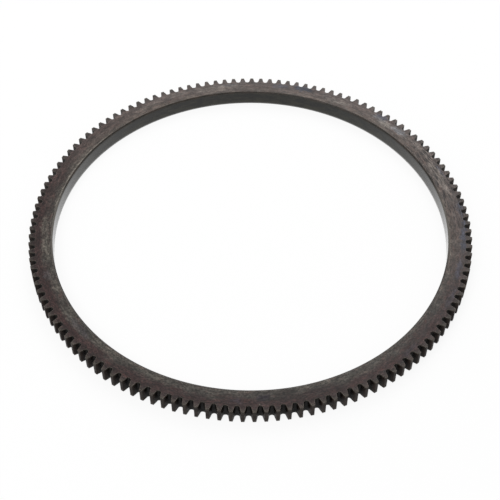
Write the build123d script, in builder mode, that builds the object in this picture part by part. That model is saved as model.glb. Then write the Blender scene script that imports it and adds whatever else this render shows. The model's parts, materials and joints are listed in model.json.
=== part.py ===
from build123d import *
import os
from math import acos, cos, pi, radians, sin, tan

os.makedirs("parts", exist_ok=True)

# Starter ring gear of a flywheel, in millimetres.
# A turned steel ring is bored to shrink onto the flywheel's rim, and straight
# involute teeth are cut all round its outside.
# The ring lies flat: the origin is the centre of its lower face, +Z is its axis,
# and one tooth is centred on +X.

# Teeth
tooth_count = 133
module = 2.54
pressure_angle = 14.5
addendum = 1.00 * module
dedendum = 1.03 * module
root_rise = 0.28 * module
backlash = 0.10 * module

# Ring
face_width = 12.7
rim_depth = 13.1
bore_chamfer = 1.0

# Radii that follow from these
pitch_radius = module * tooth_count / 2
base_radius = pitch_radius * cos(radians(pressure_angle))
tip_radius = pitch_radius + addendum
root_radius = pitch_radius - dedendum
bore_radius = root_radius - rim_depth

# The cutter that makes a tooth space runs out past the tips and both faces
overrun = module
flank_steps = 3


def involute(angle):
    """Involute function of an angle in radians."""
    return tan(angle) - angle


def flank_point(radius, side):
    """Point at this radius on a flank of a tooth space centred on +X, side 1 or -1."""
    half_space = (pi * module / 2 + backlash) / 2 / pitch_radius
    unrolled = involute(acos(base_radius / radius)) - involute(radians(pressure_angle))
    angle = half_space + unrolled
    return (radius * cos(angle), side * radius * sin(angle))


# Tooth space cutter: two involute flanks, joined by one arc that touches the root
# circle and rises towards them, as a rounded cutter leaves it
inner_radius = root_radius + root_rise
outer_radius = tip_radius + overrun
flank_radii = [
    inner_radius + (outer_radius - inner_radius) * step / flank_steps
    for step in range(flank_steps + 1)
]

with BuildPart() as space_cutter:
    with BuildSketch(Plane.XY.offset(-overrun)):
        with BuildLine():
            left_flank = Spline(*[flank_point(radius, 1) for radius in flank_radii])
            right_flank = Spline(*[flank_point(radius, -1) for radius in flank_radii])
            ThreePointArc(left_flank @ 0, (root_radius, 0), right_flank @ 0)
            Line(left_flank @ 1, right_flank @ 1)
        make_face()
    extrude(amount=face_width + 2 * overrun)

# Ring gear: the turned ring, with a lead-in chamfer at the top of its bore, less one
# tooth space for each tooth
with BuildPart() as ring_gear:
    with BuildSketch(Plane.XZ) as ring_section:
        with Locations((bore_radius, 0)):
            Rectangle(tip_radius - bore_radius, face_width, align=(Align.MIN, Align.MIN))
        bore_corners = ring_section.vertices().group_by(Axis.X)[0]
        chamfer(bore_corners.sort_by(Axis.Y)[-1], bore_chamfer)
    revolve(axis=Axis.Z)
    with PolarLocations(0, tooth_count, start_angle=180 / tooth_count):
        add(space_cutter.part, mode=Mode.SUBTRACT)

ring_gear.part.label = "ring_gear"
export_step(ring_gear.part, "parts/ring_gear.step")
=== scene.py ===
import json
import math

import bpy
import numpy as np
from mathutils import Matrix, Vector, noise


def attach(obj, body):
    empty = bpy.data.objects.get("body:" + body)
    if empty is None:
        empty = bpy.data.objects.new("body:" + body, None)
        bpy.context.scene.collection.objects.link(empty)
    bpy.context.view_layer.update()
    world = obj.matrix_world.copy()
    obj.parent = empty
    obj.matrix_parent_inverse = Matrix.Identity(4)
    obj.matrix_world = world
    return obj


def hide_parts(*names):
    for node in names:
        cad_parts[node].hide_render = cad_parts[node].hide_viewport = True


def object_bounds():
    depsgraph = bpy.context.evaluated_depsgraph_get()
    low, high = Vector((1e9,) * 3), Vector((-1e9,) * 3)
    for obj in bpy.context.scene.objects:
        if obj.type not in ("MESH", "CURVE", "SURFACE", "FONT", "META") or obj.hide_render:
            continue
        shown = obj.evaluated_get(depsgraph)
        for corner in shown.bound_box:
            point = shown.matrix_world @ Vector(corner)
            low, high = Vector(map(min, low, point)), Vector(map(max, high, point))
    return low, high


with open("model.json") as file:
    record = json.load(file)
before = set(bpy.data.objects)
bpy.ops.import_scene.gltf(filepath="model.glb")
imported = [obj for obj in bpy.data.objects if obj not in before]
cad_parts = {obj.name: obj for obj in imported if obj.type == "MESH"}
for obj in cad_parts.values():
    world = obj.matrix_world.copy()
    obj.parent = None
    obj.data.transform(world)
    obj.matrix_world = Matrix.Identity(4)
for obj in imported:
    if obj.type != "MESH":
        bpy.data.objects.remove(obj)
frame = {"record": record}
cad_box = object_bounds()

# Sizes of the ring, in metres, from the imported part
MM = 0.001
LOW, HIGH = Vector(cad_box[0]), Vector(cad_box[1])
BORE_MOUNT = next(m for m in frame["record"]["mounts"] if m["name"] == "bore")
TIP_RADIUS = HIGH.x
FACE_WIDTH = HIGH.z - LOW.z
BORE_RADIUS = BORE_MOUNT["dims"]["r_mm"] * MM
BORE_CHAMFER = FACE_WIDTH - BORE_MOUNT["dims"]["length_mm"] * MM

# Teeth: the same count and proportions as the solid's
TOOTH_COUNT = 133
PRESSURE_ANGLE = math.radians(14.5)
MODULE = TIP_RADIUS / (TOOTH_COUNT / 2 + 1)
PITCH_RADIUS = MODULE * TOOTH_COUNT / 2
BASE_RADIUS = PITCH_RADIUS * math.cos(PRESSURE_ANGLE)
DEDENDUM = 1.03 * MODULE
ROOT_RADIUS = PITCH_RADIUS - DEDENDUM
FLOOR_RISE = 0.28 * MODULE
BACKLASH = 0.10 * MODULE
PITCH_ANGLE = 2 * math.pi / TOOTH_COUNT

# Corners of the teeth seen from above: their size, and how far in and down from the
# sharp corner their middle point lies, in shares of the size
TIP_CORNER = 0.10 * MM
CORNER_IN, CORNER_DOWN = 0.3, 0.25

# Rounding of the teeth's end edges, which differs from tooth to tooth, and of the bore's
LEAST_ROUNDING = 0.06 * MM
MOST_ROUNDING = 0.16 * MM
LEAST_WEAR = 0.2
BORE_ROUNDING = 0.25 * MM
SEED = 7

# Waves of the surfaces: greatest depth on the faces and on the walls, then the length
# of the slow and the quick waves and how much each adds to a middle depth of a half,
# and how near a face a point counts as lying in it
FACE_WAVES = 0.035 * MM
WALL_WAVES = 0.020 * MM
SLOW_WAVE, SLOW_SHARE = 14 * MM, 0.35
QUICK_WAVE, QUICK_SHARE = 3.2 * MM, 0.25
FACE_SKIN = 0.02 * MM

# Mesh density
FLOOR_STEPS = 4
FLANK_STEPS = 4
FACE_RINGS = 11
WALL_RINGS = 4
OUTSIDE_RINGS = 4

# How far inside the roots the rings of the faces become plain circles
FACE_INSET = 0.4 * MM

# Surfaces of the ring, in the order of its materials
FACE, TOOTH_WALL, BORE, CHAMFER = 0, 1, 2, 3

# Rings of points round the teeth's end edges: turn from the wall to the face, surface
# between this ring and the next, and how worn the edge is, which also sets its painted highlight
QUARTER_TURN = math.pi / 2
UPPER_EDGE = (
    (0.35, TOOTH_WALL, 0.5),
    (0.70, FACE, 1.0),
    (1.10, FACE, 1.0),
    (QUARTER_TURN, FACE, 0.5),
)
LOWER_EDGE = (
    (QUARTER_TURN, FACE, 0.5),
    (0.90, TOOTH_WALL, 1.0),
    (0.35, TOOTH_WALL, 0.5),
)

# Rings of points round the bore's edges: how far outwards and up they lie from the
# sharp edge, in shares of the bore's rounding, then surface and wear as above
CHAMFER_LIP = ((0.3, -0.12, CHAMFER, 0.3), (-0.4, -0.55, CHAMFER, 0.3))
CHAMFER_FOOT = ((0.4, 0.4, CHAMFER, 0.2), (0.1, -0.3, BORE, 0.2))
BORE_FOOT = ((0.3, 0.3, FACE, 0.6),)

# Pits that the photo shows in the upper face: angle in degrees, radius, width, depth
PITS = (
    (193.1, 159.6 * MM, 1.1 * MM, 0.40 * MM),
    (12.0, 163.0 * MM, 0.7 * MM, 0.20 * MM),
    (118.0, 162.0 * MM, 0.7 * MM, 0.20 * MM),
)

# Bright nicks: angle in degrees, radius, width
NICKS = (
    (271.9, 165.2 * MM, 0.7 * MM),
    (192.0, 159.2 * MM, 0.6 * MM),
)


def polar(radius, angle):
    """Point (x, y) at this radius and angle."""
    return (radius * math.cos(angle), radius * math.sin(angle))


def involute(angle):
    """Involute function of an angle in radians."""
    return math.tan(angle) - angle


def flank_angle(radius):
    """Angle between the middle of a tooth space and its flank at this radius."""
    half_space = (math.pi * MODULE / 2 + BACKLASH) / 2 / PITCH_RADIUS
    return half_space + involute(math.acos(BASE_RADIUS / radius)) - involute(PRESSURE_ANGLE)


def half_space_outline():
    """Points (x, y) from the middle of a space, centred on +X, to the middle of a tip."""
    start = ROOT_RADIUS + FLOOR_RISE
    start_x, start_y = polar(start, flank_angle(start))
    sag = start_x - ROOT_RADIUS
    floor_radius = (start_y**2 + sag**2) / (2 * sag)
    floor_turn = math.atan2(start_y, floor_radius - sag)
    points = []
    for step in range(FLOOR_STEPS):
        turn = floor_turn * step / FLOOR_STEPS
        points.append((ROOT_RADIUS + floor_radius * (1 - math.cos(turn)), floor_radius * math.sin(turn)))
    for step in range(FLANK_STEPS):
        radius = start + (TIP_RADIUS - TIP_CORNER - start) * step / (FLANK_STEPS - 1)
        points.append(polar(radius, flank_angle(radius)))
    corner = flank_angle(TIP_RADIUS) + CORNER_IN * TIP_CORNER / TIP_RADIUS
    points.append(polar(TIP_RADIUS - CORNER_DOWN * TIP_CORNER, corner))
    points.append(polar(TIP_RADIUS, flank_angle(TIP_RADIUS) + TIP_CORNER / TIP_RADIUS))
    points.append(polar(TIP_RADIUS, PITCH_ANGLE / 2))
    return points


def gear_outline():
    """The whole outline as an array of (x, y), with one tooth centred on +X, and the
    number of its points for each tooth."""
    half = half_space_outline()
    space = np.array([(x, -y) for x, y in reversed(half[1:-1])] + half)
    turns = (np.arange(TOOTH_COUNT) + 0.5) * PITCH_ANGLE
    cos, sin = np.cos(turns)[:, None], np.sin(turns)[:, None]
    x = space[:, 0] * cos - space[:, 1] * sin
    y = space[:, 0] * sin + space[:, 1] * cos
    return np.stack([x.ravel(), y.ravel()], axis=1), len(space)


def outward_normals(outline):
    along = np.roll(outline, -1, axis=0) - np.roll(outline, 1, axis=0)
    normals = np.stack([along[:, 1], -along[:, 0]], axis=1)
    return normals / np.linalg.norm(normals, axis=1)[:, None]


def edge_rounding(outline, per_tooth):
    """Rounding of the end edges at each outline point: more at the tips, uneven by tooth."""
    random = np.random.default_rng(SEED)
    wear = np.repeat(random.uniform(LEAST_WEAR, 1.0, TOOTH_COUNT), per_tooth)
    height = (np.linalg.norm(outline, axis=1) - ROOT_RADIUS) / (TIP_RADIUS - ROOT_RADIUS)
    return LEAST_ROUNDING + (MOST_ROUNDING - LEAST_ROUNDING) * wear * np.clip(height, 0, 1)


def section_rings():
    """Rings of points round the ring's section, from the top of the teeth inwards, down
    the bore, outwards under the ring and up the outside. Each is its points, their
    heights, the surface between it and the next ring, and how worn its edge is, which
    also sets its painted highlight."""
    outline, per_tooth = gear_outline()
    normals = outward_normals(outline)
    rounding = edge_rounding(outline, per_tooth)
    directions = outline / np.linalg.norm(outline, axis=1)[:, None]
    rings = []

    def add_ring(points, height, surface, wear_and_glint=0.0):
        rings.append((points, np.broadcast_to(height, len(outline)), surface, wear_and_glint))

    def add_tooth_edge(edge, top):
        for turn, surface, wear_and_glint in edge:
            inset = outline - normals * (rounding * (1 - math.cos(turn)))[:, None]
            rise = rounding * (1 - math.sin(turn))
            add_ring(inset, FACE_WIDTH - rise if top else rise, surface, wear_and_glint)

    def add_between(circle, share, height):
        """A ring part of the way from the inset outline to a circle."""
        edge = outline - normals * rounding[:, None]
        add_ring(edge * (1 - share) + directions * circle * share, height, FACE)

    def add_bore_edge(edge, radius, height):
        for out, up, surface, wear_and_glint in edge:
            circle = directions * (radius + out * BORE_ROUNDING)
            add_ring(circle, height + up * BORE_ROUNDING, surface, wear_and_glint)

    add_tooth_edge(UPPER_EDGE, True)
    face_edge = ROOT_RADIUS - FACE_INSET
    add_between(face_edge, 0.5, FACE_WIDTH)
    lip = BORE_RADIUS + BORE_CHAMFER
    for step in range(FACE_RINGS):
        share = step / (FACE_RINGS - 1)
        radius = face_edge + (lip + BORE_ROUNDING - face_edge) * share
        add_ring(directions * radius, FACE_WIDTH, FACE)

    add_bore_edge(CHAMFER_LIP, lip, FACE_WIDTH)
    middle = 0.5 * BORE_CHAMFER
    add_ring(directions * (BORE_RADIUS + middle), FACE_WIDTH - middle, CHAMFER)
    foot = FACE_WIDTH - BORE_CHAMFER
    add_bore_edge(CHAMFER_FOOT, BORE_RADIUS, foot)
    for step in range(WALL_RINGS):
        share = (step + 0.5) / WALL_RINGS
        height = (foot - BORE_ROUNDING) * (1 - share) + BORE_ROUNDING * share
        add_ring(directions * BORE_RADIUS, height, BORE)
    add_bore_edge(BORE_FOOT, BORE_RADIUS, 0.0)

    for share in (0, 0.5):
        radius = BORE_RADIUS + BORE_ROUNDING + (face_edge - BORE_RADIUS) * share
        add_ring(directions * radius, 0.0, FACE)
    add_between(face_edge, 0.8, 0.0)
    add_tooth_edge(LOWER_EDGE, False)
    for step in range(OUTSIDE_RINGS):
        share = (step + 0.5) / OUTSIDE_RINGS
        height = rounding * (1 - share) + (FACE_WIDTH - rounding) * share
        add_ring(outline, height, TOOTH_WALL)
    return rings


def roughen(points):
    """Moves each point a little into the metal, so that no face is quite flat. The lower
    face stays flat, because the ring lies on it."""
    # Inside this radius the metal lies outwards of a wall, and beyond it inwards
    bore_side = BORE_RADIUS + 0.3 * BORE_CHAMFER
    moved = []
    for x, y, z in points:
        radius = math.hypot(x, y)
        slow = noise.noise(Vector((x, y, z)) / SLOW_WAVE)
        quick = noise.noise(Vector((x, y, z)) / QUICK_WAVE)
        depth = 0.5 + SLOW_SHARE * slow + QUICK_SHARE * quick
        depth = min(max(depth, 0), 1)
        if z > FACE_WIDTH - FACE_SKIN:
            z -= FACE_WAVES * depth
        elif z > FACE_SKIN:
            shift = WALL_WAVES * depth
            scale = (radius + (shift if radius < bore_side else -shift)) / radius
            x, y = x * scale, y * scale
        moved.append((x, y, z))
    return moved


def press_pits(points):
    """Presses the pits into the upper face."""
    points = np.array(points)
    for angle, radius, width, depth in PITS:
        centre = np.array(polar(1.0, math.radians(angle))) * radius
        distance = np.linalg.norm(points[:, :2] - centre, axis=1) / width
        upper = points[:, 2] > FACE_WIDTH - 2 * MOST_ROUNDING
        points[:, 2] -= np.where(upper, depth * np.exp(-distance**2), 0)
    return points


def build_ring():
    rings = section_rings()
    count = len(rings[0][0])
    points = np.concatenate([np.column_stack([xy, height]) for xy, height, _, _ in rings])
    points = press_pits(roughen(points))
    faces = []
    for ring in range(len(rings)):
        here, there = ring * count, (ring + 1) % len(rings) * count
        for i in range(count):
            j = (i + 1) % count
            faces.append((here + i, here + j, there + j, there + i))
    mesh = bpy.data.meshes.new("worn_ring_gear")
    mesh.from_pydata([tuple(p) for p in points], [], faces)
    wear_and_glint = mesh.attributes.new("edge_wear_and_glint", "FLOAT", "POINT")
    wear_and_glint.data.foreach_set("value", np.repeat([ring[3] for ring in rings], count).astype(np.float32))
    mesh.polygons.foreach_set("material_index", np.repeat([ring[2] for ring in rings], count))
    mesh.polygons.foreach_set("use_smooth", [True] * len(faces))
    mesh.update()
    ring_object = bpy.data.objects.new("worn_ring_gear", mesh)
    bpy.context.collection.objects.link(ring_object)
    return ring_object


# Places of the two colours among a Mix node's inputs, and of its result among its outputs
MIX_FIRST, MIX_SECOND, MIX_RESULT = 6, 7, 2


class Nodes:
    """Short calls that add shader nodes to one material or world and link them."""

    def __init__(self, owner):
        owner.use_nodes = True
        self.owner = owner
        self.tree = owner.node_tree
        self.tree.nodes.clear()

    def add(self, kind, **settings):
        node = self.tree.nodes.new(kind)
        for key, value in settings.items():
            setattr(node, key, value)
        return node

    def feed(self, socket, value):
        if isinstance(value, bpy.types.NodeSocket):
            self.tree.links.new(value, socket)
        else:
            socket.default_value = value

    def math(self, operation, a, b=0.0):
        node = self.add("ShaderNodeMath", operation=operation)
        self.feed(node.inputs[0], a)
        self.feed(node.inputs[1], b)
        return node.outputs[0]

    def plus(self, a, b):
        return self.math("ADD", a, b)

    def minus(self, a, b):
        return self.math("SUBTRACT", a, b)

    def times(self, a, b):
        return self.math("MULTIPLY", a, b)

    def vector(self, operation, a, b=(0, 0, 0)):
        node = self.add("ShaderNodeVectorMath", operation=operation)
        self.feed(node.inputs[0], a)
        self.feed(node.inputs[1], b)
        return node.outputs["Value"] if operation in ("LENGTH", "DOT_PRODUCT") else node.outputs[0]

    def combine(self, x, y, z):
        node = self.add("ShaderNodeCombineXYZ")
        for socket, value in zip(node.inputs, (x, y, z)):
            self.feed(socket, value)
        return node.outputs[0]

    def noise(self, vector, scale, detail, roughness):
        node = self.add("ShaderNodeTexNoise")
        self.feed(node.inputs["Vector"], vector)
        self.feed(node.inputs["Scale"], scale)
        self.feed(node.inputs["Detail"], detail)
        self.feed(node.inputs["Roughness"], roughness)
        return node

    def band(self, value, low, high, low_out=0.0, high_out=1.0):
        """Smooth step from low_out at low to high_out at high."""
        node = self.add("ShaderNodeMapRange", interpolation_type="SMOOTHSTEP")
        for index, item in enumerate((value, low, high, low_out, high_out)):
            self.feed(node.inputs[index], item)
        return node.outputs[0]

    def blend(self, factor, a, b, mode="MIX"):
        node = self.add("ShaderNodeMix", data_type="RGBA", blend_type=mode)
        self.feed(node.inputs["Factor"], factor)
        self.feed(node.inputs[MIX_FIRST], a)
        self.feed(node.inputs[MIX_SECOND], b)
        return node.outputs[MIX_RESULT]

    def finish(self, shader, output="ShaderNodeOutputMaterial"):
        self.feed(self.add(output).inputs["Surface"], shader)
        return self.owner


def rgb(red, green, blue):
    """Colour from sRGB values of 0 to 255."""
    return tuple((value / 255)**2.2 for value in (red, green, blue)) + (1.0,)


# Colours of the oxidised steel, without its gloss, except where painted light is noted
INNER_GREY = rgb(61, 58, 54)
# Far side's colour for the smooth scale: lighter and greyer, partly as painted sheen
INNER_SCALE_AND_SHEEN = rgb(77, 68, 63)
OUTER_MAROON = rgb(48, 35, 34)
# Far side's colour for the smooth scale: lighter and greyer, partly as painted sheen
OUTER_SCALE_AND_SHEEN = rgb(78, 69, 66)
RUST_RED = rgb(64, 44, 41)
# Far side's rust: lighter and greyer, partly as painted sheen
RUST_BROWN = rgb(88, 70, 64)
DARK_OXIDE = rgb(28, 21, 20)
TOOTH_GREY = rgb(50, 45, 43)
PALE_SCALE = rgb(90, 86, 79)
# Far side's pale patches: lighter, partly as painted sheen
PALE_BROWN = rgb(115, 108, 102)
STEEL_GREY = rgb(99, 99, 102)
# Bare metal for scratches, nicks and worn edges, also used for painted glints and edge highlights
BARE_METAL_AND_GLINT = rgb(118, 113, 105)
# Far side's heat tint: lighter, partly as painted sheen
HEAT_BLUE = rgb(58, 62, 74)
HEAT_VIOLET = rgb(52, 49, 57)
# Roots of the tooth spaces: dark oxide and painted shade, near black
SPACE_OXIDE_AND_SHADE = rgb(11, 6, 3)
FLANK_OXIDE = rgb(36, 28, 24)
TIP_OXIDE = rgb(45, 40, 37)
BORE_OXIDE = rgb(14, 14, 9)
BORE_LIGHTER = rgb(40, 38, 29)
CHAMFER_BROWN = rgb(46, 38, 34)
# Paler colour of the chamfer on its left and right: a painted glint
CHAMFER_GLINT = rgb(92, 88, 82)

# Radii and width of the ring in mm, as the materials measure them
BORE_MM = BORE_RADIUS / MM
ROOT_MM = ROOT_RADIUS / MM
TIP_MM = TIP_RADIUS / MM
WIDTH_MM = FACE_WIDTH / MM

# Noise textures: length of a mark round the ring and its width across it in mm, detail,
# roughness, and for the rust a scale
BLOTCHES = (16.0, 6.0, 3.0, 0.5)
MOTTLE = (5.6, 1.7, 5.0, 0.62)
GRIT = (1.7, 0.9, 3.0, 0.60)
CLOUDS = (11.0, 4.0, 4.0, 0.5)
RUST = (9.0, 3.0, 5.0, 0.65, 1.3)
MARKS = (7.0, 0.95, 3.0, 0.6)
SCRATCHES = (22.0, 0.50, 3.0, 0.6)
TURNING = (30.0, 0.30, 4.0, 0.6)
GLOSS_PATCHES = (5.0, 2.5, 4.0, 0.6)
WALL_CLOUDS = (6.0, 3.0, 4.0, 0.6)
BORE_CLOUDS = (9.0, 3.0, 4.0, 0.6)
CHAMFER_CLOUDS = (6.0, 2.0, 4.0, 0.6)

# Sides of the ring on which a look is strong: direction in degrees from +X, and the
# cosines of the angles to it at which the look begins and is full
# Far side, lighter and greyer: partly smooth scale, partly painted sheen
SCALE_AND_SHEEN_SIDE = (68, -0.30, 0.60)
STREAK_SIDE = (16, 0.90, 0.98)
# Side of the painted glint along the bore's rim
GLINT_RIM_SIDE = (157, 0.94, 0.985)
GREY_SIDE = (250, 0.4, 0.9)
DARK_TEETH_SIDE = (157, 0.40, 0.92)
DULL_TEETH_SIDE = (328, 0.70, 0.95)

# Border between the grey near the bore and the brown outside: where it starts and ends,
# in mm from the bore, how much wider the grey is on its side, and how far the blotches
# and the mottle move the border
BORDER_START, BORDER_END = 1.0, 11.0
GREY_WIDER = 3.5
BORDER_WANDER, BORDER_FRAY = 16.0, 7.0

# Radii in mm between which a look changes
TEETH_BAND = (ROOT_MM - 0.5, TIP_MM - 1.5)
SCRATCH_BAND = (BORE_MM + 6.0, BORE_MM + 1.5)
# Painted glint along the bore's rim
GLINT_RIM_BAND = (BORE_MM + 2.3, BORE_MM + 1.5)
# Painted shade of the tooth spaces, from their roots up the flanks
FLANK_SHADE_BAND = (ROOT_MM + 1.2, TIP_MM - 0.3)
TIP_BAND = (TIP_MM - 0.6, TIP_MM - 0.1)

# Values of the noise, or for the last one the cosine of the angle to the left or right,
# at which a look begins and is full
RUST_STEP = (0.50, 0.64)
MARK_STEP = (0.50, 0.60)
SCRATCH_STEP = (0.52, 0.66)
GRIT_STEP = (0.30, 0.70)
WORN_STEP = (0.36, 0.54)
GLOSS_STEP = (0.3, 0.7)
BORE_STEP = (0.38, 0.68)
CHAMFER_STEP = (0.35, 0.65)
CHAMFER_GLINT_STEP = (0.955, 1.0)

# Values of the noise at which a factor begins and ends to change, and the factors there
PATCH_BREAKS = (0.35, 0.58, 0.50, 1.0)
MOTTLE_SHADE = (0.33, 0.67, 0.66, 1.34)
CLOUD_SHADE = (0.36, 0.64, 0.77, 1.23)
WALL_SHADE = (0.35, 0.65, 0.7, 1.5)

# How strong the looks are: rust on the flat of the face and on the teeth, grey on the
# teeth, marks all round and more of them on their side, scratches outside and near the
# bore, the painted glint on the bore's rim, the grit where there is no smooth scale and
# where there is (its lighter colour partly painted sheen), how much darker the teeth are
# on three sides, and the painted glint on the chamfer's left and right
RUST_SHARES = (0.42, 0.20)
TOOTH_GREY_SHARE = 0.5
MARK_SHARE, SIDE_MARK_SHARE = 0.12, 0.82
SCRATCH_SHARES = (0.06, 0.40)
GLINT_RIM_SHARE = 0.65
GRIT_SWINGS = (0.62, 0.34)
SCALE_AND_SHEEN_TEETH_SHARE, DARK_TEETH_SHARE, DULL_TEETH_SHARE = 0.28, 0.44, 0.20
CHAMFER_GLINT_SHARE = 0.85

# The bore is paler below: heights in mm between which that changes, and what is added
# to its noise at each
BORE_HEIGHTS = (0.0, 0.8 * WIDTH_MM)
BORE_PALER = (0.10, -0.06)

# Look of the nicks and pits: share of the width in which it is full, strength, colour
NICK_LOOK = (0.3, 0.6, BARE_METAL_AND_GLINT)
PIT_LOOK = (0.4, 0.9, DARK_OXIDE)

# Patches on the face: angle in degrees, radius, half length round the ring and half
# width across it in mm, strength
HEAT_TINTS = (
    (47.0, 165.6, 7.0, 2.8, 0.70),
    (73.5, 163.6, 9.0, 3.6, 0.85),
    (80.5, 163.4, 8.0, 3.0, 0.65),
    (20.0, 164.8, 9.0, 1.8, 0.60),
    (5.0, 166.4, 9.0, 3.0, 0.90),
    (354.0, 164.6, 15.0, 2.4, 0.95),
    (359.0, 166.4, 16.0, 1.2, 0.95),
    (343.0, 163.2, 13.0, 2.2, 0.80),
    (333.0, 164.8, 12.0, 2.0, 0.75),
    (313.0, 165.0, 9.0, 2.0, 0.45),
    (266.2, 163.0, 5.0, 2.4, 0.45),
    (273.0, 159.8, 5.0, 3.0, 0.55),
    (198.8, 160.7, 5.5, 3.0, 0.45),
    (219.0, 158.8, 14.0, 2.8, 0.45),
)
PALE_PATCHES = (
    (44.5, 160.0, 8.0, 3.8, 1.00),
    (39.0, 162.0, 12.0, 3.6, 0.50),
    (62.0, 160.0, 13.0, 3.6, 0.55),
    (100.0, 160.4, 26.0, 4.0, 0.50),
    (112.0, 163.0, 14.0, 2.6, 0.30),
    (123.0, 160.5, 14.0, 3.0, 0.25),
    (18.0, 160.5, 26.0, 3.6, 0.70),
    (30.0, 163.5, 15.0, 3.4, 0.45),
    (181.0, 160.0, 12.0, 3.0, 0.70),
    (152.0, 157.2, 22.0, 1.5, 0.25),
    (189.0, 158.4, 17.0, 3.6, 0.66),
    (203.0, 157.0, 9.0, 3.0, 0.45),
    (199.0, 160.4, 6.0, 3.0, 0.40),
    (216.0, 159.2, 16.0, 2.6, 0.50),
    (228.0, 157.4, 15.0, 2.6, 0.35),
    (245.0, 157.2, 17.0, 2.6, 0.35),
    (298.0, 158.8, 17.0, 3.0, 0.32),
)
STEEL_PATCHES = (
    (39.5, 162.2, 9.0, 3.2, 0.85),
    (47.5, 162.4, 8.0, 2.8, 0.60),
    (96.0, 163.5, 9.0, 2.0, 0.40),
)
DARK_PATCHES = (
    (73.0, 163.8, 10.0, 3.2, 0.85),
    (88.0, 165.0, 9.0, 2.4, 0.40),
    (141.0, 164.0, 16.0, 2.6, 0.28),
    (186.0, 164.5, 12.0, 1.8, 0.35),
    (236.0, 160.8, 14.0, 2.0, 0.30),
    (262.0, 161.8, 14.0, 2.0, 0.30),
    (273.0, 160.0, 5.5, 3.4, 0.95),
    (279.0, 160.4, 13.0, 4.4, 0.50),
    (289.0, 161.5, 17.0, 4.4, 0.45),
    (272.0, 156.5, 26.0, 2.4, 0.25),
)

# Edges of the patches: scale, detail and roughness of the noise that makes them ragged,
# how far it moves them in mm, and where a patch is gone and where it is full, in shares
# of its half size
RAGGED = (0.35, 4.0, 0.5)
RAGGED_SHIFT = 8.0
PATCH_EDGE = (1.25, 0.45)


def unit(degrees):
    """Vector of length 1 in this direction, in the plane of the ring."""
    return (*polar(1.0, math.radians(degrees)), 0.0)


class RingPlace:
    """Where a point of the surface lies: in mm, round the ring and across it."""

    def __init__(self, nodes):
        self.nodes = nodes
        scaled = nodes.add("ShaderNodeVectorMath", operation="SCALE")
        nodes.feed(scaled.inputs[0], nodes.add("ShaderNodeTexCoord").outputs["Object"])
        nodes.feed(scaled.inputs["Scale"], 1 / MM)
        self.point = scaled.outputs[0]
        split = nodes.add("ShaderNodeSeparateXYZ")
        nodes.feed(split.inputs[0], self.point)
        self.flat = nodes.combine(split.outputs[0], split.outputs[1], 0.0)
        self.height = split.outputs[2]
        self.radius = nodes.vector("LENGTH", self.flat)
        self.direction = nodes.vector("NORMALIZE", self.flat)

    def texture(self, length, width, detail, roughness, scale=1.0):
        """Noise whose marks are this long round the ring, and this wide across it."""
        nodes = self.nodes
        turns = PITCH_RADIUS / MM / length
        round_x = nodes.vector("DOT_PRODUCT", self.direction, (turns, 0, 0))
        round_y = nodes.vector("DOT_PRODUCT", self.direction, (0, turns, 0))
        across = nodes.minus(self.radius, self.height)
        place = nodes.combine(round_x, round_y, nodes.math("DIVIDE", across, width))
        return nodes.noise(place, scale, detail, roughness).outputs["Fac"]

    def distance(self, degrees, radius):
        """Distance in mm, seen from above, from the point at this angle and radius."""
        centre = tuple(radius / MM * c for c in unit(degrees))
        return self.nodes.vector("LENGTH", self.nodes.vector("SUBTRACT", self.flat, centre))

    def side(self, degrees, low, high):
        """0 to 1 towards one side of the ring, between two cosines of the angle to it."""
        cosine = self.nodes.vector("DOT_PRODUCT", self.direction, unit(degrees))
        return self.nodes.band(cosine, low, high)

    def patches(self, patches):
        """1 inside ragged patches, each fading out at its edge."""
        nodes = self.nodes
        ragged = nodes.noise(self.flat, *RAGGED).outputs["Color"]
        shift = nodes.vector("SUBTRACT", ragged, (0.5, 0.5, 0.5))
        shift = nodes.vector("MULTIPLY", shift, (RAGGED_SHIFT, RAGGED_SHIFT, 0))
        point = nodes.vector("ADD", self.flat, shift)
        mask = 0.0
        for angle, radius, half_length, half_width, strength in patches:
            local = nodes.add("ShaderNodeMapping", vector_type="TEXTURE")
            nodes.feed(local.inputs["Vector"], point)
            nodes.feed(local.inputs["Location"], tuple(radius * c for c in unit(angle)))
            nodes.feed(local.inputs["Rotation"], (0.0, 0.0, math.radians(angle)))
            nodes.feed(local.inputs["Scale"], (half_width, half_length, 1.0))
            size = nodes.vector("LENGTH", local.outputs[0])
            patch = nodes.band(size, *PATCH_EDGE, 0.0, strength)
            mask = nodes.math("MAXIMUM", mask, patch)
        return mask


def ground_colour(nodes, place, mottle, scale_and_sheen_share):
    """Grey near the bore and brown to maroon outside, with a border that wanders."""
    wander = nodes.times(nodes.minus(place.texture(*BLOTCHES), 0.5), BORDER_WANDER)
    fray = nodes.times(nodes.minus(mottle, 0.5), BORDER_FRAY)
    across = nodes.plus(place.radius, nodes.plus(wander, fray))
    wider = nodes.times(place.side(*GREY_SIDE), GREY_WIDER)
    start = nodes.plus(wider, BORE_MM + BORDER_START)
    outer = nodes.band(across, start, BORE_MM + BORDER_END)
    # Lighter and greyer towards the far side: partly the smooth scale, partly painted sheen
    inner_colour = nodes.blend(scale_and_sheen_share, INNER_GREY, INNER_SCALE_AND_SHEEN)
    outer_colour = nodes.blend(scale_and_sheen_share, OUTER_MAROON, OUTER_SCALE_AND_SHEEN)
    return nodes.blend(outer, inner_colour, outer_colour)


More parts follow.
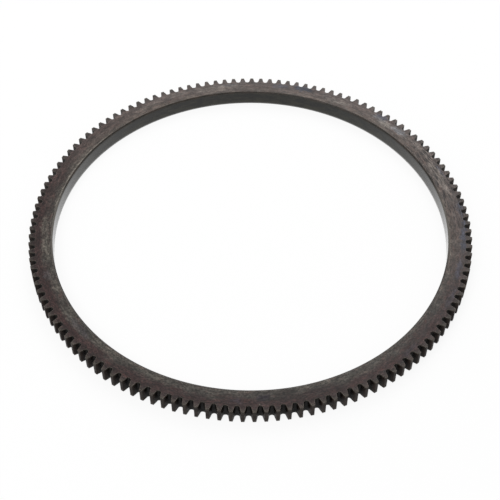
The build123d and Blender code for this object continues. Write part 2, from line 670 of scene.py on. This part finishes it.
def add_rust(nodes, place, colour, scale_and_sheen_share, teeth):
    """Rust in clouds, thinner on the teeth, which are greyer."""
    rust = nodes.band(place.texture(*RUST), *RUST_STEP)
    rust = nodes.times(rust, nodes.band(teeth, 0.0, 1.0, *RUST_SHARES))
    colour = nodes.blend(rust, colour, nodes.blend(scale_and_sheen_share, RUST_RED, RUST_BROWN))
    tooth_colour = nodes.blend(scale_and_sheen_share, TOOTH_GREY, OUTER_SCALE_AND_SHEEN)
    return nodes.blend(nodes.times(teeth, TOOTH_GREY_SHARE), colour, tooth_colour)


def add_patches(nodes, place, colour, mottle, scale_and_sheen_share):
    """Pale, bare, dark and heat-tinted patches; the mottle breaks up two kinds of them."""
    broken = nodes.band(mottle, *PATCH_BREAKS)
    pale = nodes.times(place.patches(PALE_PATCHES), broken)
    colour = nodes.blend(pale, colour, nodes.blend(scale_and_sheen_share, PALE_SCALE, PALE_BROWN))
    colour = nodes.blend(place.patches(STEEL_PATCHES), colour, STEEL_GREY)
    colour = nodes.blend(place.patches(DARK_PATCHES), colour, DARK_OXIDE)
    tint = nodes.times(place.patches(HEAT_TINTS), broken)
    return nodes.blend(tint, colour, nodes.blend(scale_and_sheen_share, HEAT_VIOLET, HEAT_BLUE))


def add_marks(nodes, place, colour):
    """Dark marks, mostly on one side, scratches near the bore, and a painted glint along the bore's rim
    on one side.
    """
    marks = nodes.band(place.texture(*MARKS), *MARK_STEP)
    share = nodes.plus(nodes.times(place.side(*STREAK_SIDE), SIDE_MARK_SHARE), MARK_SHARE)
    colour = nodes.blend(nodes.times(marks, share), colour, DARK_OXIDE)

    scratches = nodes.band(place.texture(*SCRATCHES), *SCRATCH_STEP)
    near_bore = nodes.band(place.radius, *SCRATCH_BAND, *SCRATCH_SHARES)
    colour = nodes.blend(nodes.times(scratches, near_bore), colour, BARE_METAL_AND_GLINT)

    # Painted glint: a thin line of bare-metal colour along the bore's rim, on one side only
    glint_rim = nodes.times(nodes.band(place.radius, *GLINT_RIM_BAND), place.side(*GLINT_RIM_SIDE))
    return nodes.blend(nodes.times(glint_rim, GLINT_RIM_SHARE), colour, BARE_METAL_AND_GLINT)


def face_shade(nodes, place, mottle, scale_and_sheen_share, teeth):
    """Factor that the face's colour is multiplied by: blots of three sizes, and teeth
    that are darker on some sides."""
    shade = nodes.band(mottle, *MOTTLE_SHADE)
    swing = nodes.band(scale_and_sheen_share, 0.0, 1.0, *GRIT_SWINGS)
    darkest, palest = nodes.minus(1.0, swing), nodes.plus(1.0, swing)
    shade = nodes.times(shade, nodes.band(place.texture(*GRIT), *GRIT_STEP, darkest, palest))
    shade = nodes.times(shade, nodes.band(place.texture(*CLOUDS), *CLOUD_SHADE))
    darker = nodes.times(scale_and_sheen_share, SCALE_AND_SHEEN_TEETH_SHARE)
    darker = nodes.plus(darker, nodes.times(place.side(*DARK_TEETH_SIDE), DARK_TEETH_SHARE))
    darker = nodes.plus(darker, nodes.times(place.side(*DULL_TEETH_SIDE), DULL_TEETH_SHARE))
    darker = nodes.times(darker, teeth)
    return nodes.times(shade, nodes.minus(1.0, darker))


def add_spots(nodes, place, colour, spots, full, strength, spot_colour):
    """Round spots of one colour, which fade out from this share of their width."""
    for angle, radius, width, *_ in spots:
        distance = place.distance(angle, radius)
        near = nodes.band(distance, width / MM, full * width / MM, 0.0, strength)
        colour = nodes.blend(near, colour, spot_colour)
    return colour


def face_colour(nodes, place):
    """Colour of the upper and lower faces."""
    mottle = place.texture(*MOTTLE)
    # Share of the far side, whose lighter, greyer colours are partly smooth scale, partly painted sheen
    scale_and_sheen_share = place.side(*SCALE_AND_SHEEN_SIDE)
    teeth = nodes.band(place.radius, *TEETH_BAND)
    colour = ground_colour(nodes, place, mottle, scale_and_sheen_share)
    colour = add_rust(nodes, place, colour, scale_and_sheen_share, teeth)
    colour = add_patches(nodes, place, colour, mottle, scale_and_sheen_share)
    colour = add_marks(nodes, place, colour)
    shade = face_shade(nodes, place, mottle, scale_and_sheen_share, teeth)
    colour = nodes.blend(1.0, colour, shade, "MULTIPLY")
    colour = add_spots(nodes, place, colour, NICKS, *NICK_LOOK)
    return add_spots(nodes, place, colour, PITS, *PIT_LOOK)


def wall_colour(nodes, place):
    """Colour of the teeth's sides: dark oxide, darkened to near black towards the roots of the spaces as
    painted shade, and browner at the tips.
    """
    # Painted shade: near black at the roots of the spaces, lighter up the flanks
    colour = nodes.blend(nodes.band(place.radius, *FLANK_SHADE_BAND), SPACE_OXIDE_AND_SHADE, FLANK_OXIDE)
    colour = nodes.blend(nodes.band(place.radius, *TIP_BAND), colour, TIP_OXIDE)
    shade = nodes.band(place.texture(*WALL_CLOUDS), *WALL_SHADE)
    return nodes.blend(1.0, colour, shade, "MULTIPLY")


def bore_colour(nodes, place):
    """Colour of the bore: smooth dark oxide, a little paler towards its foot."""
    paler = nodes.band(place.height, *BORE_HEIGHTS, *BORE_PALER)
    cloud = nodes.plus(place.texture(*BORE_CLOUDS), paler)
    return nodes.blend(nodes.band(cloud, *BORE_STEP), BORE_OXIDE, BORE_LIGHTER)


def chamfer_colour(nodes, place):
    """Colour of the bore's chamfer: brown oxide, made paler on the left and right by a painted glint."""
    cloud = nodes.band(place.texture(*CHAMFER_CLOUDS), *CHAMFER_STEP)
    colour = nodes.blend(cloud, BORE_OXIDE, CHAMFER_BROWN)
    sides = nodes.math("ABSOLUTE", nodes.vector("DOT_PRODUCT", place.direction, unit(0)))
    # Painted glint: the chamfer paler on the left and right
    chamfer_glint = nodes.band(sides, *CHAMFER_GLINT_STEP, 0.0, CHAMFER_GLINT_SHARE)
    return nodes.blend(chamfer_glint, colour, CHAMFER_GLINT)


# Grain of the steel: scale per mm, detail, roughness
GRAIN = (1.6, 4.0, 0.6)

# How much of the bare metal shows where an edge is worn; it also paints the edge's highlight
BARE_AND_GLINT_SHARE = 0.75

SHEEN_ROUGHNESS = 0.42

# Bump of the turning lines and the grain
BUMP_STRENGTH = 0.30
BUMP_DEPTH = 0.05 * MM
TURNING_BUMP = 0.6


def steel_material(name, base, specular, roughness, turned, sheen):
    """Steel under oxide: bare at the worn edges, which also paints their highlights, with fine turning
    lines and grain.
    """
    nodes = Nodes(bpy.data.materials.new(name))
    place = RingPlace(nodes)
    grain = nodes.noise(place.point, *GRAIN).outputs["Fac"]
    turning = place.texture(*TURNING)

    edge = nodes.add("ShaderNodeAttribute", attribute_name="edge_wear_and_glint").outputs["Fac"]
    # Worn edges: bare metal, which also serves as painted highlight along the edges
    wear_and_glint = nodes.times(edge, nodes.band(grain, *WORN_STEP))
    colour = nodes.blend(nodes.times(wear_and_glint, BARE_AND_GLINT_SHARE), base(nodes, place), BARE_METAL_AND_GLINT)

    rough = nodes.band(place.texture(*GLOSS_PATCHES), *GLOSS_STEP, *roughness)
    rough = nodes.plus(rough, nodes.times(nodes.minus(turning, 0.5), turned))

    bump = nodes.add("ShaderNodeBump")
    nodes.feed(bump.inputs["Strength"], BUMP_STRENGTH)
    nodes.feed(bump.inputs["Distance"], BUMP_DEPTH)
    nodes.feed(bump.inputs["Height"], nodes.plus(nodes.times(turning, TURNING_BUMP), grain))

    shader = nodes.add("ShaderNodeBsdfPrincipled")
    nodes.feed(shader.inputs["Base Color"], colour)
    nodes.feed(shader.inputs["Metallic"], 0.0)
    nodes.feed(shader.inputs["Specular IOR Level"], specular)
    nodes.feed(shader.inputs["Roughness"], rough)
    nodes.feed(shader.inputs["Sheen Weight"], sheen)
    nodes.feed(shader.inputs["Sheen Roughness"], SHEEN_ROUGHNESS)
    nodes.feed(shader.inputs["Normal"], bump.outputs[0])
    return nodes.finish(shader.outputs[0])


# Materials in the order of the surfaces' numbers: name, colour, specular, lowest and
# highest roughness, how much the turning lines change it, sheen
STEEL_SURFACES = (
    ("oxidised_face", face_colour, 0.155, (0.30, 0.46), 0.10, 0.0),
    ("oxidised_tooth_wall", wall_colour, 0.08, (0.42, 0.55), 0.05, 0.0),
    ("oxidised_bore", bore_colour, 0.28, (0.04, 0.09), 0.02, 0.6),
    ("oxidised_chamfer", chamfer_colour, 0.23, (0.38, 0.50), 0.05, 0.0),
)

# Floor: half its side, its gap under the ring, its grey for diffuse light, and how much
# of it is plain white to the eye and to gloss, while the rest takes the shadow
FLOOR_HALF = 3.0
FLOOR_GAP = 0.05 * MM
FLOOR_PALE = 0.9
FLOOR_GLOW = 0.88

# Strength of the studio's light from all sides; the camera and gloss see it as white
STUDIO_LIGHT = 0.58
WHITE = 1.0

# Softboxes: name, place, side in metres, watts
SOFTBOXES = (
    ("back_softbox", (0.25, 1.15, 1.25), 1.1, 13),
    ("front_softbox", (-0.7, -0.7, 1.4), 0.8, 9),
)


def seen_rays(nodes):
    """1 for the rays of the camera, of gloss and of transmission, 0 for diffuse light."""
    rays = nodes.add("ShaderNodeLightPath").outputs
    seen = nodes.math("MAXIMUM", rays["Is Camera Ray"], rays["Is Glossy Ray"])
    return nodes.math("MAXIMUM", seen, rays["Is Transmission Ray"])


def floor_material():
    """Pale floor that the camera and reflections see as white, with the ring's shadow."""
    nodes = Nodes(bpy.data.materials.new("pale_floor"))
    diffuse = nodes.add("ShaderNodeBsdfDiffuse")
    nodes.feed(diffuse.inputs["Color"], (FLOOR_PALE, FLOOR_PALE, FLOOR_PALE, 1.0))
    glow = nodes.add("ShaderNodeEmission")
    nodes.feed(glow.inputs["Strength"], WHITE)
    both = nodes.add("ShaderNodeMixShader")
    nodes.feed(both.inputs[0], nodes.times(seen_rays(nodes), FLOOR_GLOW))
    nodes.feed(both.inputs[1], diffuse.outputs[0])
    nodes.feed(both.inputs[2], glow.outputs[0])
    return nodes.finish(both.outputs[0])


def build_floor():
    corners = [(x * FLOOR_HALF, y * FLOOR_HALF, 0) for x, y in ((-1, -1), (1, -1), (1, 1), (-1, 1))]
    mesh = bpy.data.meshes.new("floor")
    mesh.from_pydata(corners, [], [(0, 1, 2, 3)])
    floor = bpy.data.objects.new("floor", mesh)
    bpy.context.collection.objects.link(floor)
    floor.location.z = LOW.z - FLOOR_GAP
    mesh.materials.append(floor_material())


def add_softbox(name, place, size, watts):
    """Square area lamp that points at the middle of the ring."""
    lamp = bpy.data.lights.new(name, "AREA")
    lamp.shape = "SQUARE"
    lamp.size = size
    lamp.energy = watts
    holder = bpy.data.objects.new(name, lamp)
    holder.location = place
    holder.rotation_euler = (-Vector(place)).to_track_quat("-Z", "Y").to_euler()
    bpy.context.collection.objects.link(holder)


def build_light():
    nodes = Nodes(bpy.data.worlds.new("studio"))
    strength = nodes.add("ShaderNodeMapRange")
    nodes.feed(strength.inputs["Value"], seen_rays(nodes))
    nodes.feed(strength.inputs["To Min"], STUDIO_LIGHT)
    nodes.feed(strength.inputs["To Max"], WHITE)
    background = nodes.add("ShaderNodeBackground")
    nodes.feed(background.inputs["Color"], (1.0, 1.0, 1.0, 1.0))
    nodes.feed(background.inputs["Strength"], strength.outputs[0])
    bpy.context.scene.world = nodes.finish(background.outputs[0], "ShaderNodeOutputWorld")
    for name, place, size, watts in SOFTBOXES:
        add_softbox(name, place, size, watts)


# Camera: fitted to the outline of the ring in the photo
CAMERA_ELEVATION = math.radians(49.594)
CAMERA_TURN = math.radians(-0.333)
CAMERA_ROLL = math.radians(0.10)
CAMERA_DISTANCE = 4.9201 * TIP_RADIUS
CAMERA_DROP = 0.0741 * TIP_RADIUS
CAMERA_SIDE = 0.0016 * TIP_RADIUS
LENS_MM = 77.08
SENSOR_MM = 36.0


def build_camera():
    forward = Vector((0, math.cos(CAMERA_ELEVATION), -math.sin(CAMERA_ELEVATION)))
    up = Vector((0, math.sin(CAMERA_ELEVATION), math.cos(CAMERA_ELEVATION)))
    right = Vector((1, 0, 0))
    place = -CAMERA_DISTANCE * forward - CAMERA_SIDE * right - CAMERA_DROP * up
    axes = Matrix((right, up, -forward)).transposed().to_4x4()
    pose = Matrix.Translation(place) @ axes @ Matrix.Rotation(CAMERA_ROLL, 4, "Z")
    data = bpy.data.cameras.new("camera")
    data.lens = LENS_MM
    data.sensor_width = SENSOR_MM
    camera = bpy.data.objects.new("camera", data)
    camera.matrix_world = Matrix.Rotation(CAMERA_TURN, 4, "Z") @ pose
    bpy.context.collection.objects.link(camera)
    bpy.context.scene.camera = camera


bpy.context.scene.view_settings.view_transform = "Standard"
worn_ring = build_ring()
for surface in STEEL_SURFACES:
    worn_ring.data.materials.append(steel_material(*surface))
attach(worn_ring, "root")
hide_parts("ring_gear")
build_floor()
build_light()
build_camera()
